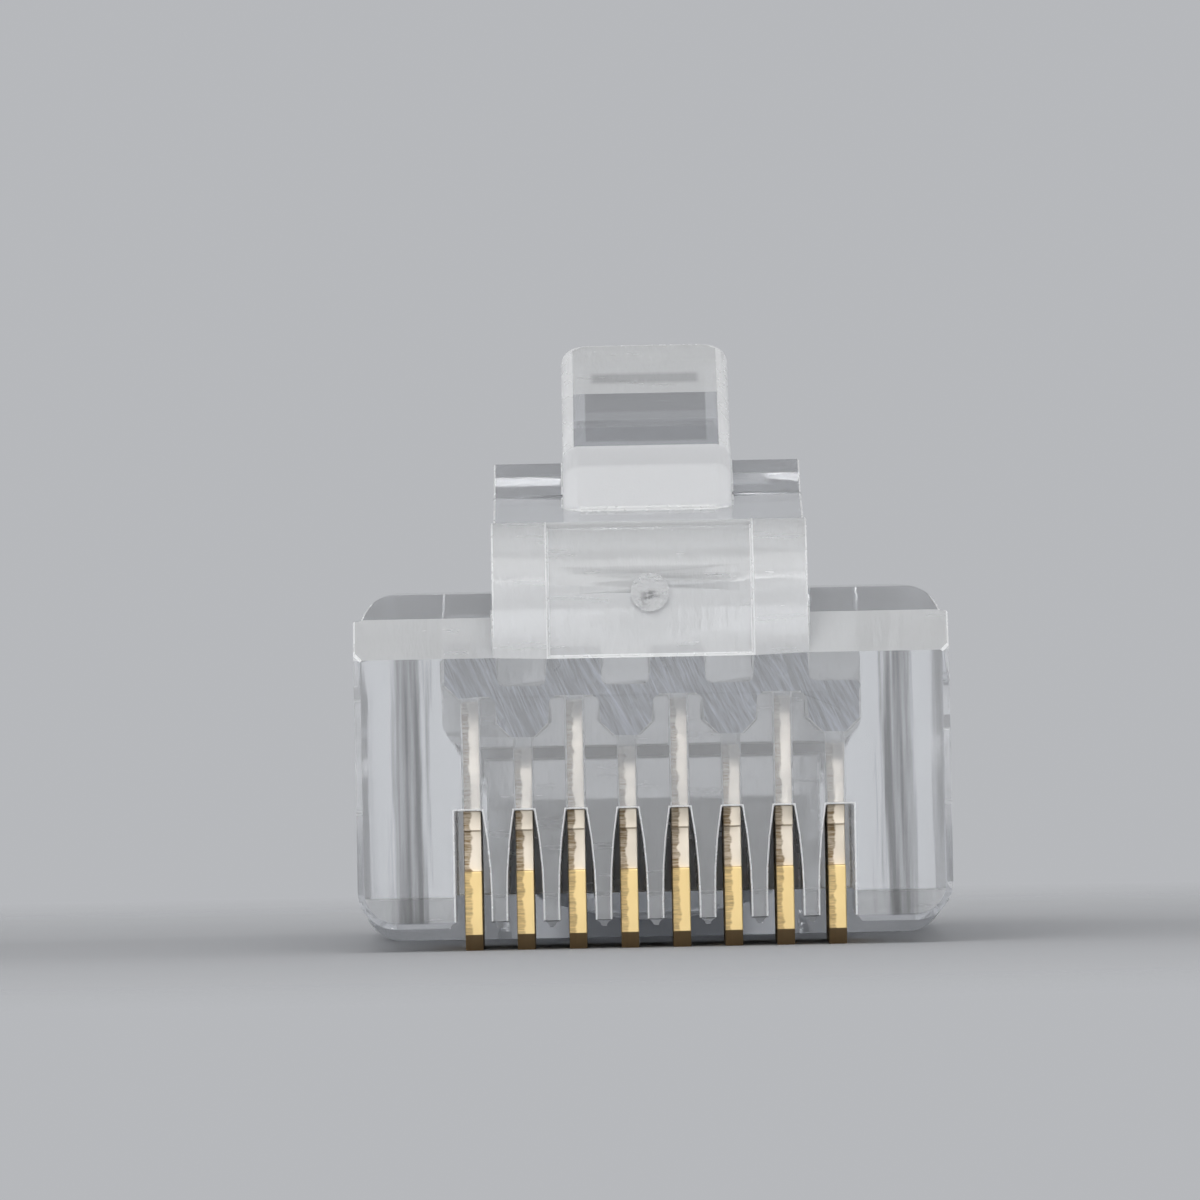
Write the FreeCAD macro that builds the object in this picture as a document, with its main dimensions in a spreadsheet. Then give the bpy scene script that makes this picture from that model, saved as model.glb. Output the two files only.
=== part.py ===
import FreeCAD, Part
import math
import os
import re
import Sketcher

# Clear 8-way modular plug with its latch and eight insulation-piercing contacts.
#
# Frame, in millimetres: the nose that enters the jack faces -Y, the cable leaves along +Y,
# the latch is on top (+Z) and the contacts look down (-Z).  The origin is at the bottom
# centre of the whole plug, so Z = 0 is the plane of the contact tips and of the tail.
# "nose_y" is the nose face; a depth is a distance behind it, towards the cable.

SIZES = [
    # moulded body
    ("body_width", 11.68, "side to side"),
    ("body_length", 21.5, "nose face to tail"),
    ("body_top", 7.00, "top of the body"),
    ("comb_bottom", 0.45, "lower ends of the comb ribs"),
    ("lower_corner", 0.75, "radius of the long lower corners"),
    ("parting_step", 0.15, "step on each side where the mould's halves meet"),
    ("shoulder_drop", 0.50, "height of the long upper corners over that step"),
    ("shoulder_reach", 0.57, "width of the long upper corners"),
    ("shoulder_radius", 0.68, "radius of the long upper corners"),
    ("nose_edge", 5.74, "upper edge of the flat nose face"),
    ("facet_depth", 0.80, "depth of the sloped facet over the nose face"),
    ("facet_top", 6.53, "upper edge of that facet"),
    ("lead_depth", 3.20, "depth at which the lead-in reaches the body top"),
    ("nose_bevel", 0.13, "bevel round the nose face"),
    # hollow under the body, where the jacket clamp shows
    ("comb_length", 6.35, "length of the comb ribs"),
    ("hollow_top", 1.00, "ceiling of the hollow behind the comb"),
    ("hollow_end", 11.35, "depth where the tail ramp starts"),
    ("ramp_end", 12.90, "depth where the tail ramp ends"),
    ("tail_bevel", 0.13, "bevel round the tail face"),
    ("ramp_round", 0.60, "rounding where the tail ramp starts"),
    # comb
    ("ways", 8, "number of contacts"),
    ("pitch", 1.02, "contact to contact"),
    ("slot_width", 0.39, "slot beside a blade"),
    ("flare_width", 0.69, "slot between the rib ends"),
    ("flare_bottom", 0.95, "where a rib's straight end stops"),
    ("flare_radius", 10.9, "curve of a rib's flank"),
    ("rib_round", 0.11, "rounding of the rib ends"),
    ("slot_shoulder", 2.75, "ledge over the open front of a slot"),
    ("slot_length", 6.45, "length of the blade slots"),
    ("slot_top", 5.08, "upper end of the blade slots, inside the wire channels"),
    # wire channels
    ("end_wall", 0.70, "plastic in front of the wire channels"),
    ("channel_length", 6.60, "length of the wire channels"),
    ("high_floor", 4.95, "floor of the high channels"),
    ("high_roof", 5.93, "roof of the high channels"),
    ("low_floor", 4.18, "floor of the low channels"),
    ("low_roof", 5.18, "roof of the low channels"),
    ("low_width", 1.06, "width of a low channel"),
    ("tooth_width", 0.94, "width of the teeth over the low channels"),
    ("channel_round", 0.12, "rounding of the channel corners"),
    ("channel_bevel", 0.26, "bevel under the low channels"),
    # cable entry and the chamber where the wires fan out
    ("entry_radius", 2.95, "cable entry"),
    ("entry_height", 3.55, "cable axis"),
    ("entry_length", 8.60, "straight part of the cable entry"),
    ("entry_flare", 0.30, "chamfer at the mouth of the cable entry"),
    ("fan_width", 8.30, "chamber width where it meets the channels"),
    ("fan_floor", 3.95, "chamber floor where it meets the channels"),
    ("fan_roof", 6.10, "chamber roof where it meets the channels"),
    ("fan_round", 0.55, "rounding of the chamber's corners"),
    ("fan_overlap", 0.05, "how far the chamber runs into the channels and the entry"),
    ("fan_step", 0.20, "how the chamber's rear differs from the round entry"),
    # jacket clamp: a bar on a thin web, pushed onto the cable by the crimping tool
    ("window_width", 6.60, "opening round the jacket clamp"),
    ("window_start", 7.70, "depth of its front edge"),
    ("window_end", 11.20, "depth of its rear edge"),
    ("clamp_width", 6.10, "jacket clamp bar"),
    ("clamp_start", 8.15, "depth of the bar's front edge"),
    ("clamp_end", 10.65, "depth of the bar's rear edge"),
    ("clamp_front_top", 3.05, "top of the bar at its front"),
    ("clamp_rear_top", 1.95, "top of the bar at its rear"),
    ("web_thickness", 0.30, "web that carries the bar"),
    # latch root, part of the body
    ("root_width", 6.20, "block that carries the latch"),
    ("root_foot", 5.34, "bottom of that block, inside the nose"),
    ("root_top", 8.39, "top of that block"),
    ("root_round", 1.42, "curve of its front"),
    ("panel_width", 4.02, "sunk middle of the root's front"),
    ("panel_sink", 0.12, "how far it is sunk"),
    ("gate_radius", 0.38, "stub left by the mould's gate"),
    ("gate_face", 0.02, "depth of the stub's end"),
    ("gate_height", 6.98, "centre of the gate stub"),
    # latch
    ("hinge_depth", 1.75, "depth of the line about which the latch flexes"),
    ("hinge_height", 7.93, "height of that line"),
    ("knuckle_radius", 0.44, "latch end in its seat"),
    ("seat_gap", 0.02, "clearance of the latch end in its seat"),
    ("seat_reach", 0.264, "how far the seat's lips stand in front of the hinge line"),
    ("arm_width", 6.10, "wide part of the latch"),
    ("tab_width", 3.35, "finger tab"),
    ("shoulder_depth", 8.20, "locking shoulders behind the nose"),
    ("shoulder_top", 9.57, "top of the locking shoulders"),
    ("shoulder_bottom", 8.49, "underside at the locking shoulders"),
    ("ramp_start", 5.55, "depth where the ramp to the shoulders starts"),
    ("ramp_start_top", 8.88, "top of the arm where the ramp starts"),
    ("block_start", 3.40, "depth where the tab's raised block starts"),
    ("block_foot", 8.66, "lower edge of the block's steep front"),
    ("block_rise", 4.55, "depth where the block's steep front ends"),
    ("block_rise_top", 9.49, "height where the block's steep front ends"),
    ("block_crest", 6.40, "depth of the block's crest"),
    ("block_crest_top", 9.83, "top of the block's crest"),
    ("block_bevel", 0.35, "bevel on the block's lower front corners"),
    ("block_soft", 0.90, "hollow in front of the tab"),
    ("block_edge", 0.45, "rounding over the block's steep front"),
    ("ramp_soft", 1.2, "rounding where the ramp starts"),
    ("tab_depth", 14.00, "depth of the tab's tip"),
    ("tab_top", 12.02, "top of the tab's tip"),
    ("tab_thickness", 0.80, "thickness of the tab"),
    ("tab_corner", 0.55, "rounding of the tab's free corners, seen from above"),
    ("tab_soft_top", 0.32, "rounding of the tab's upper edges"),
    ("tab_soft_bottom", 0.22, "rounding of the tab's lower edges"),
    # contact blades
    ("blade_thickness", 0.35, "sheet thickness of a blade"),
    ("blade_front", 0.50, "depth of a blade's working front edge"),
    ("blade_rear", 6.25, "depth of a blade's rear edge"),
    ("blade_heel", 0.32, "start of the bevel under the front edge"),
    ("blade_bevel", 0.34, "depth of that bevel"),
    ("blade_face_top", 1.55, "top of the working front edge"),
    ("blade_neck", 0.92, "depth of the neck over the front edge"),
    ("barb_bottom", 2.35, "lower edge of the barb that bites the plastic"),
    ("barb_top", 2.74, "upper edge of the barb"),
    ("barb_front", 0.66, "depth of the barb's tip"),
    ("prong_front", 1.10, "depth of the first prong's front edge"),
    ("prong_width", 0.92, "width of a prong"),
    ("prong_gap", 0.98, "gap between two prongs"),
    ("prong_root", 2.95, "bottom of the gaps between the prongs"),
    ("prong_slope", 0.36, "how far a prong's point leans back from its front edge"),
    ("prong_point", 0.10, "flat on a prong's point"),
    ("tall_shoulder", 3.98, "where a tall blade's prongs start to point"),
    ("tall_top", 4.86, "points of a tall blade"),
    ("short_shoulder", 3.40, "where a short blade's prongs start to point"),
    ("short_top", 3.92, "points of a short blade"),
    ("heel_round", 0.40, "rounding of the blade's lower rear corner"),
    ("cut_margin", 2.0, "how far a cut runs past the plastic"),
]

PLANES = {"side": "YZ_Plane", "front": "XZ_Plane", "plan": "XY_Plane"}
ORIGIN = (-1, 1)
START, END, CENTRE = 1, 2, 3
NEAR = 1e-4


def named(words):
    """Turn #name into a reference to the sheet, and #nose into the nose face's place on Y."""
    words = re.sub(r"#nose\b", "(-#body_length / 2)", words)
    return re.sub(r"#(\w+)", r"Sizes.\1", words)


def corner(across, up, rounding=None, arc=None, bulge=1):
    """One corner of an outline.  rounding softens it; arc makes the stretch after it an arc of
    that radius, bulging to the right of its travel (1) or to the left (-1)."""
    return {"at": (named(across), named(up)), "bulge": bulge,
            "rounding": named(rounding) if rounding else None, "arc": named(arc) if arc else None}


def behind(depth, up, **more):
    """A corner in a side view, at a depth behind the nose face."""
    return corner("#nose + " + depth, up, **more)


def new_sketch(body, name, view, offset=None):
    """A sketch on one of the body's own origin planes, moved along its normal by offset."""
    sketch = body.newObject("Sketcher::SketchObject", name)
    plane = next(f for f in body.Origin.OriginFeatures if f.Role == PLANES[view])
    sketch.AttachmentSupport = [(plane, "")]
    sketch.MapMode = "FlatFace"
    if offset:
        sketch.setExpression("AttachmentOffset.Base.z", named(offset))
    return sketch


def bind(sketch, kind, *where, words):
    """Add a dimension whose value is an expression on the sheet."""
    value = float(sketch.evalExpression(words))
    index = sketch.addConstraint(Sketcher.Constraint(kind, *where, value))
    sketch.setExpression("Constraints[%d]" % index, words)


def fix_point(sketch, element, end, at):
    bind(sketch, "DistanceX", *ORIGIN, element, end, words=at[0])
    bind(sketch, "DistanceY", *ORIGIN, element, end, words=at[1])


def arc_between(start, end, radius, bulge):
    """An arc of less than half a turn, with the end numbers of its own start and end."""
    middle = (start + end) * 0.5
    travel = end - start
    side = FreeCAD.Vector(travel.y, -travel.x, 0).normalize() * bulge
    centre = middle - side * math.sqrt(max(radius ** 2 - (travel.Length / 2) ** 2, 0))
    first, last = (start, end) if bulge > 0 else (end, start)
    angles = [math.atan2(p.y - centre.y, p.x - centre.x) for p in (first, last)]
    circle = Part.Circle(centre, FreeCAD.Vector(0, 0, 1), radius)
    ends = (START, END) if bulge > 0 else (END, START)
    return Part.ArcOfCircle(circle, angles[0], angles[1]), ends


def softened(points, index, radius):
    """Where the rounding of a corner starts and ends on its two straight sides."""
    here = points[index]
    back = (points[index - 1] - here).normalize()
    ahead = (points[(index + 1) % len(points)] - here).normalize()
    reach = radius / math.tan(back.getAngle(ahead) / 2)
    return here + back * reach, here + ahead * reach


def outline(sketch, corners):
    """Draw one closed outline, every corner and radius bound to the sheet."""
    points = [FreeCAD.Vector(*(float(sketch.evalExpression(w)) for w in c["at"]), 0) for c in corners]
    radii = [float(sketch.evalExpression(c["rounding"])) if c["rounding"] else 0 for c in corners]
    count = len(corners)
    leave = [softened(points, i, radii[i])[1] if radii[i] else points[i] for i in range(count)]
    reach = [softened(points, i, radii[i])[0] if radii[i] else points[i] for i in range(count)]
    stretches = []
    for i, item in enumerate(corners):
        start, end = leave[i], reach[(i + 1) % count]
        if item["arc"]:
            shape, ends = arc_between(start, end, float(sketch.evalExpression(item["arc"])), item["bulge"])
        else:
            shape, ends = Part.LineSegment(start, end), (START, END)
        stretches.append((sketch.addGeometry(shape, False), ends))
        if item["arc"]:
            bind(sketch, "Radius", stretches[-1][0], words=item["arc"])
    for i, item in enumerate(corners):
        before, after = stretches[i - 1], stretches[i]
        if radii[i]:
            round_corner(sketch, before, after, item, (reach[i], points[i], leave[i]))
        else:
            sketch.addConstraint(Sketcher.Constraint(
                "Coincident", before[0], before[1][1], after[0], after[1][0]))
            fix_point(sketch, after[0], after[1][0], item["at"])


def round_corner(sketch, before, after, item, places):
    """Join two straight stretches by a tangent arc; the sharp corner stays as a drawn point."""
    arrive, sharp, leave = places
    turn = (sharp - arrive).cross(leave - sharp).z
    radius = float(sketch.evalExpression(item["rounding"]))
    shape, ends = arc_between(arrive, leave, radius, 1 if turn > 0 else -1)
    arc = sketch.addGeometry(shape, False)
    mark = sketch.addGeometry(Part.Point(sharp), True)
    fix_point(sketch, mark, START, item["at"])
    for line in (before[0], after[0]):
        sketch.addConstraint(Sketcher.Constraint("PointOnObject", mark, START, line))
    sketch.addConstraint(Sketcher.Constraint("Tangent", before[0], before[1][1], arc, ends[0]))
    sketch.addConstraint(Sketcher.Constraint("Tangent", arc, ends[1], after[0], after[1][0]))
    bind(sketch, "Radius", arc, words=item["rounding"])


def rounded_box(left, right, bottom, top, low_round, high_round):
    """The corners of a rectangle with rounded corners."""
    return [corner(left, bottom, rounding=low_round), corner(right, bottom, rounding=low_round),
            corner(right, top, rounding=high_round), corner(left, top, rounding=high_round)]


def extrude(body, kind, name, sketch, length, symmetric=False, turned=False):
    """Pad or pocket a sketch, and see that it added or removed material."""
    before = body.Shape.Volume if body.Tip else 0
    feature = body.newObject("PartDesign::" + kind, name)
    feature.Profile = sketch
    feature.setExpression("Length", named(length))
    feature.Midplane = symmetric
    feature.Reversed = turned
    body.Document.recompute()
    change = feature.Shape.Volume - before
    if (change > 0) != (kind == "Pad") or abs(change) < 1e-6:
        raise RuntimeError("%s %s changed the volume by %.4f" % (kind, name, change))
    return feature


def turn(body, name, sketch):
    """Cut a hole whose half section is drawn over the sketch's own horizontal axis."""
    before = body.Shape.Volume
    groove = body.newObject("PartDesign::Groove", name)
    groove.Profile = sketch
    groove.ReferenceAxis = (sketch, ["H_Axis"])
    groove.Angle = 360
    body.Document.recompute()
    if groove.Shape.Volume >= before:
        raise RuntimeError("%s cut nothing" % name)


def side_feature(body, kind, name, width, corners):
    """Extrude a side view symmetrically across the plug."""
    sketch = new_sketch(body, name + "Outline", "side")
    outline(sketch, corners)
    return extrude(body, kind, name, sketch, width, symmetric=True)


def front_feature(body, kind, name, depth, length, corners):
    """Extrude a front view towards the cable, from a depth behind the nose face."""
    sketch = new_sketch(body, name + "Outline", "front", "-(#nose + %s)" % depth)
    outline(sketch, corners)
    return extrude(body, kind, name, sketch, length, turned=kind == "Pad")


def dress(body, kind, name, size_of, width, chosen):
    """Dress the edges of the body so far whose middle passes the test chosen, and see that it cut."""
    before = body.Shape.Volume
    edges = ["Edge%d" % number for number, edge in enumerate(body.Shape.Edges, start=1)
             if chosen(edge.valueAt((edge.FirstParameter + edge.LastParameter) / 2))]
    feature = body.newObject("PartDesign::" + kind, name)
    feature.Base = (feature.BaseFeature, edges)
    feature.setExpression(size_of, named(width))
    body.Document.recompute()
    if feature.Shape.Volume >= before:
        raise RuntimeError("%s cut nothing" % name)


def bevel(body, name, width, chosen):
    dress(body, "Chamfer", name, "Size", width, chosen)


def round_over(body, name, radius, chosen):
    """Round edges; the rounding runs on along edges that continue smoothly."""
    dress(body, "Fillet", name, "Radius", radius, chosen)


def block_section(bottom):
    """The plug's outline from the front, with a small step under each upper corner."""
    half = "#body_width / 2"
    step = "#body_top - #shoulder_drop"
    return [corner("-" + half, bottom, rounding="#lower_corner"),
            corner(half, bottom, rounding="#lower_corner"), corner(half, step),
            corner(half + " - #parting_step", step, arc="#shoulder_radius"),
            corner(half + " - #parting_step - #shoulder_reach", "#body_top"),
            corner("-%s + #parting_step + #shoulder_reach" % half, "#body_top", arc="#shoulder_radius"),
            corner("-%s + #parting_step" % half, step), corner("-" + half, step)]


def add_block(body):
    """The outside of the moulded body: nose, tail, lead-in and the hollow under it."""
    front_feature(body, "Pad", "Nose", "0", "#comb_length", block_section("#comb_bottom"))
    front_feature(body, "Pad", "Tail", "#comb_length", "#body_length - #comb_length",
                  block_section("0"))
    corner_top = size(body, "#body_top - #shoulder_drop")
    for name, width, place in (("NoseBevel", "#nose_bevel", "#nose"),
                               ("TailBevel", "#tail_bevel", "-#nose")):
        face = size(body, place)
        bevel(body, name, width, lambda at: abs(at.y - face) < NEAR and at.z < corner_top - NEAR)
    side_feature(body, "Pocket", "LeadIn", "#body_width + #cut_margin", [
        behind("0 - #cut_margin", "#nose_edge"), behind("0", "#nose_edge"),
        behind("#facet_depth", "#facet_top"), behind("#lead_depth", "#body_top"),
        behind("#lead_depth", "#body_top + #cut_margin"),
        behind("0 - #cut_margin", "#body_top + #cut_margin")])
    side_feature(body, "Pocket", "Hollow", "#body_width + #cut_margin", [
        behind("#comb_length", "-#cut_margin"), behind("#ramp_end", "-#cut_margin"),
        behind("#ramp_end", "0"), behind("#hollow_end", "#hollow_top", rounding="#ramp_round"),
        behind("#comb_length", "#hollow_top")])


def add_latch_root(body):
    """The curved block on the nose that carries the latch, with the stub of the mould's gate."""
    lip = "(#hinge_depth - #seat_reach)"
    rise = "sqrt((#knuckle_radius + #seat_gap)^2 - #seat_reach^2)"
    side_feature(body, "Pad", "LatchRoot", "#root_width", [
        behind("0", "#root_foot"), behind(lip, "#root_foot"),
        behind(lip, "#hinge_height - " + rise, arc="#knuckle_radius + #seat_gap", bulge=-1),
        behind(lip, "#hinge_height + " + rise), behind("#root_round", "#root_top",
                                                       arc="#root_round"),
        behind("0", "#root_top - #root_round")])
    side_feature(body, "Pocket", "RootPanel", "#panel_width", [
        behind("0 - #cut_margin", "#nose_edge"), behind("#panel_sink", "#nose_edge"),
        behind("#panel_sink", "#root_top - #root_round",
               arc="#root_round - #panel_sink", bulge=-1),
        behind("#root_round", "#root_top - #panel_sink"),
        behind("#hinge_depth", "#root_top - #panel_sink"),
        behind("#hinge_depth", "#root_top + #cut_margin"),
        behind("0 - #cut_margin", "#root_top + #cut_margin")])
    stub = new_sketch(body, "GateStubOutline", "front", "-(#nose + #gate_face)")
    circle = stub.addGeometry(Part.Circle(
        FreeCAD.Vector(0, size(body, "#gate_height"), 0), FreeCAD.Vector(0, 0, 1),
        size(body, "#gate_radius")), False)
    bind(stub, "Radius", circle, words=named("#gate_radius"))
    fix_point(stub, circle, CENTRE, ("0", named("#gate_height")))
    extrude(body, "Pad", "GateStub", stub, "#gate_radius + #panel_sink", turned=True)


def channel_outline(ways):
    """Wire channels side by side, high and low in turn, as one zigzag opening."""
    floor, roof = [], []
    for way in range(ways):
        middle = "(%g) * #pitch" % (way - (ways - 1) / 2)
        low = way % 2 == 1
        left, right = middle + " - #low_width / 2", middle + " + #low_width / 2"
        if low:
            floor += [corner(left, "#high_floor", rounding="#channel_round"),
                      corner(left, "#low_floor + #channel_bevel"),
                      corner(left + " + #channel_bevel", "#low_floor"),
                      corner(right + " - #channel_bevel", "#low_floor"),
                      corner(right, "#low_floor + #channel_bevel")]
            if way < ways - 1:
                floor.append(corner(right, "#high_floor", rounding="#channel_round"))
            tooth_left, tooth_right = middle + " - #tooth_width / 2", middle + " + #tooth_width / 2"
            roof += [corner(tooth_left, "#high_roof", rounding="#channel_round"),
                     corner(tooth_left, "#low_roof", rounding="#channel_round")]
            if way < ways - 1:
                roof += [corner(tooth_right, "#low_roof", rounding="#channel_round"),
                         corner(tooth_right, "#high_roof", rounding="#channel_round")]
            else:
                roof.append(corner(right, "#low_roof", rounding="#channel_round"))
        elif way == 0:
            floor.append(corner(left + " + #channel_bevel", "#high_floor"))
            roof += [corner(left, "#high_floor + #channel_bevel"),
                     corner(left, "#high_roof", rounding="#channel_round")]
    return floor + roof[::-1]


def add_cavities(body):
    """Wire channels, the chamber where the wires fan out, and the round cable entry."""
    front_feature(body, "Pocket", "WireChannels", "#end_wall", "#channel_length",
                  channel_outline(int(size(body, "#ways"))))
    start = "(#end_wall + #channel_length - #fan_overlap)"
    entry = "(#body_length - #entry_length)"
    narrow = new_sketch(body, "FanFrontOutline", "front", "-(#nose + %s)" % start)
    outline(narrow, rounded_box("-#fan_width / 2", "#fan_width / 2", "#fan_floor", "#fan_roof",
                                "#fan_round", "#fan_round"))
    wide = new_sketch(body, "FanRearOutline", "front", "-(#nose + %s + #fan_overlap)" % entry)
    outline(wide, rounded_box("-#entry_radius - #fan_step", "#entry_radius + #fan_step",
                              "#entry_height - #entry_radius + #fan_step",
                              "#entry_height + #entry_radius - #fan_step",
                              "#entry_radius - #fan_step * 2", "#entry_radius - #fan_step * 2"))
    chamber = body.newObject("PartDesign::SubtractiveLoft", "FanChamber")
    chamber.Profile = narrow
    chamber.Sections = [wide]
    chamber.Ruled = True
    body.Document.recompute()
    bore = new_sketch(body, "CableEntryOutline", "side")
    bore.setExpression("AttachmentOffset.Base.y", named("#entry_height"))
    outline(bore, [
        behind(entry, "0"), behind("#body_length + #cut_margin", "0"),
        behind("#body_length + #cut_margin", "#entry_radius + #entry_flare + #cut_margin"),
        behind("#body_length - #entry_flare", "#entry_radius"), behind(entry, "#entry_radius")])
    turn(body, "CableEntry", bore)


def slot_outline(middle):
    """The open front of a blade slot: parallel at the top, flared between the rib ends."""
    slim, wide = "#slot_width / 2", "#flare_width / 2"
    below = "#comb_bottom - #cut_margin"
    left, right = middle + " - ", middle + " + "
    return [corner(left + "(%s + #rib_round)" % wide, below),
            corner(left + "(%s + #rib_round)" % wide, "#comb_bottom", arc="#rib_round", bulge=-1),
            corner(left + wide, "#comb_bottom + #rib_round"),
            corner(left + wide, "#flare_bottom", arc="#flare_radius", bulge=-1),
            corner(left + slim, "#slot_shoulder"),
            corner(right + slim, "#slot_shoulder", arc="#flare_radius", bulge=-1),
            corner(right + wide, "#flare_bottom"),
            corner(right + wide, "#comb_bottom + #rib_round", arc="#rib_round", bulge=-1),
            corner(right + "(%s + #rib_round)" % wide, "#comb_bottom"),
            corner(right + "(%s + #rib_round)" % wide, below)]


def add_comb(body):
    """Eight slots for the blades; the plastic left between their open ends is the comb."""
    reach = "#pitch * (#ways - 1) / 2"
    left, right = "-%s - #slot_width / 2" % reach, "-%s + #slot_width / 2" % reach
    open_part = front_feature(body, "Pocket", "SlotFront", "0 - #cut_margin",
                              "#slot_length + #cut_margin", slot_outline("-" + reach))
    closed_part = front_feature(body, "Pocket", "SlotRear", "#end_wall", "#slot_length - #end_wall", [
        corner(left, "#slot_shoulder - #slot_width"), corner(right, "#slot_shoulder - #slot_width"),
        corner(right, "#slot_top"), corner(left, "#slot_top")])
    before = body.Shape.Volume
    row = body.newObject("PartDesign::LinearPattern", "BladeSlots")
    row.Originals = [open_part, closed_part]
    axis = next(f for f in body.Origin.OriginFeatures if f.Role == "X_Axis")
    row.Direction = (axis, [""])
    row.setExpression("Length", named("#pitch * (#ways - 1)"))
    row.setExpression("Occurrences", named("#ways"))
    body.Tip = row
    body.Document.recompute()
    if body.Shape.Volume >= before:
        raise RuntimeError("the row of slots cut nothing")
    for side, sign in (("Left", "-"), ("Right", "")):
        inner, outer = sign + "(%s)" % reach, sign + "(%s + #flare_width / 2)" % reach
        front_feature(body, "Pocket", "OuterSlot" + side, "0 - #cut_margin",
                      "#slot_length + #cut_margin", [
                          corner(inner, "#flare_bottom"), corner(outer, "#flare_bottom"),
                          corner(outer, "#slot_shoulder"), corner(inner, "#slot_shoulder")])


def add_jacket_clamp(body):
    """A bar in a window under the cable, hung on a thin web so that crimping can press it in."""
    side_feature(body, "Pocket", "ClampWindow", "#window_width", [
        behind("#window_start", "0"), behind("#window_end", "0"),
        behind("#window_end", "#clamp_rear_top"), behind("#window_start", "#fan_floor")])
    side_feature(body, "Pad", "ClampBar", "#clamp_width", [
        behind("#clamp_start", "#hollow_top"),
        behind("#window_end + #web_thickness / 2", "#hollow_top"),
        behind("#window_end + #web_thickness / 2", "#hollow_top + #web_thickness"),
        behind("#clamp_end", "#hollow_top + #web_thickness"),
        behind("#clamp_end", "#clamp_rear_top", rounding="#web_thickness"),
        behind("#clamp_start", "#clamp_front_top", rounding="#web_thickness")])


def make_housing(doc):
    body = doc.addObject("PartDesign::Body", "Housing")
    body.Label = "housing"
    add_block(body)
    add_latch_root(body)
    add_cavities(body)
    add_comb(body)
    add_jacket_clamp(body)
    return body


def add_tab(body):
    """The finger tab and the raised block in front of it, all its edges soft."""
    lean = "((#tab_top - #block_crest_top) / (#tab_depth - #block_crest))"
    length = "sqrt(1 + %s^2)" % lean
    side_feature(body, "Pad", "Tab", "#tab_width", [
        behind("#block_start", "#hinge_height + #knuckle_radius"),
        behind("#shoulder_depth", "#shoulder_bottom"),
        behind("#shoulder_depth + #tab_thickness",
               "#block_crest_top + (#shoulder_depth + #tab_thickness - #block_crest) * %s"
               " - #tab_thickness * %s" % (lean, length), rounding="#tab_thickness"),
        behind("#tab_depth + #tab_thickness * %s / %s" % (lean, length),
               "#tab_top - #tab_thickness / %s" % length),
        behind("#tab_depth", "#tab_top"),
        behind("#block_crest", "#block_crest_top", rounding="#block_soft"),
        behind("#block_rise", "#block_rise_top", rounding="#block_edge"),
        behind("#block_start", "#block_foot")])
    tip, half, top = (size(body, words) for words in ("#nose + #tab_depth", "#tab_width / 2", "#tab_top"))
    round_over(body, "TabCorners", "#tab_corner", lambda at: at.y > tip and abs(at.x) > half - NEAR)
    round_over(body, "TabTopEdges", "#tab_soft_top",
               lambda at: abs(at.x) < NEAR and abs(at.y - tip) < NEAR and abs(at.z - top) < NEAR)
    end = max(vertex.Point.y for vertex in body.Shape.Vertexes)
    round_over(body, "TabBottomEdges", "#tab_soft_bottom",
               lambda at: abs(at.x) < NEAR and abs(at.y - end) < NEAR)


def cut_block_corners(body):
    """Bevel both corners at the foot of the raised block."""
    foot = "#nose + #block_start"
    for side, sign in (("Left", "-"), ("Right", "")):
        half = sign + "(#tab_width / 2"
        sketch = new_sketch(body, "BlockCorner%sOutline" % side, "plan")
        outline(sketch, [
            corner(half + " - #block_bevel)", foot), corner(half + ")", foot + " + #block_bevel"),
            corner(half + " + #cut_margin)", foot + " + #block_bevel"),
            corner(half + " + #cut_margin)", foot + " - #cut_margin"),
            corner(half + " - #block_bevel)", foot + " - #cut_margin")])
        extrude(body, "Pocket", "BlockCorner" + side, sketch, "#tab_top + #cut_margin", turned=True)


def add_arm(body):
    """The wide arm: a round end in the root's seat, a ramp and two locking shoulders."""
    side_feature(body, "Pad", "Arm", "#arm_width", [
        behind("#hinge_depth", "#hinge_height - #knuckle_radius"),
        behind("#shoulder_depth", "#shoulder_bottom"),
        behind("#shoulder_depth", "#shoulder_top"),
        behind("#ramp_start", "#ramp_start_top", rounding="#ramp_soft"),
        behind("#hinge_depth", "#hinge_height + #knuckle_radius", arc="#knuckle_radius"),
        behind("#hinge_depth - #knuckle_radius", "#hinge_height", arc="#knuckle_radius")])


def make_latch(doc):
    body = doc.addObject("PartDesign::Body", "Latch")
    body.Label = "latch"
    add_tab(body)
    cut_block_corners(body)
    add_arm(body)
    return body


def blade_outline(shoulder, top):
    """One stamped blade from the side: working edge, barbs, three piercing prongs."""
    prongs = []
    for index in (2, 1, 0):
        front = "#prong_front + %d * (#prong_width + #prong_gap)" % index
        rear_foot = "#barb_top" if index == 2 else "#prong_root"
        front_foot = "#barb_top" if index == 0 else "#prong_root"
        prongs += [behind(front + " + #prong_width", rear_foot),
                   behind(front + " + #prong_width", shoulder),
                   behind(front + " + #prong_slope + #prong_point", top),
                   behind(front + " + #prong_slope", top), behind(front, shoulder),
                   behind(front, front_foot)]
    return [behind("#blade_front + #blade_bevel", "0"), behind("#blade_rear", "0", rounding="#heel_round"),
            behind("#blade_rear", "#barb_bottom"), behind("#slot_length - #seat_gap", "#barb_top"),
            *prongs,
            behind("#barb_front", "#barb_top"), behind("#barb_front", "#barb_bottom"),
            behind("#blade_neck", "#barb_bottom"), behind("#blade_neck", "#blade_face_top"),
            behind("#blade_front", "#blade_face_top"), behind("#blade_front", "#blade_heel")]


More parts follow.
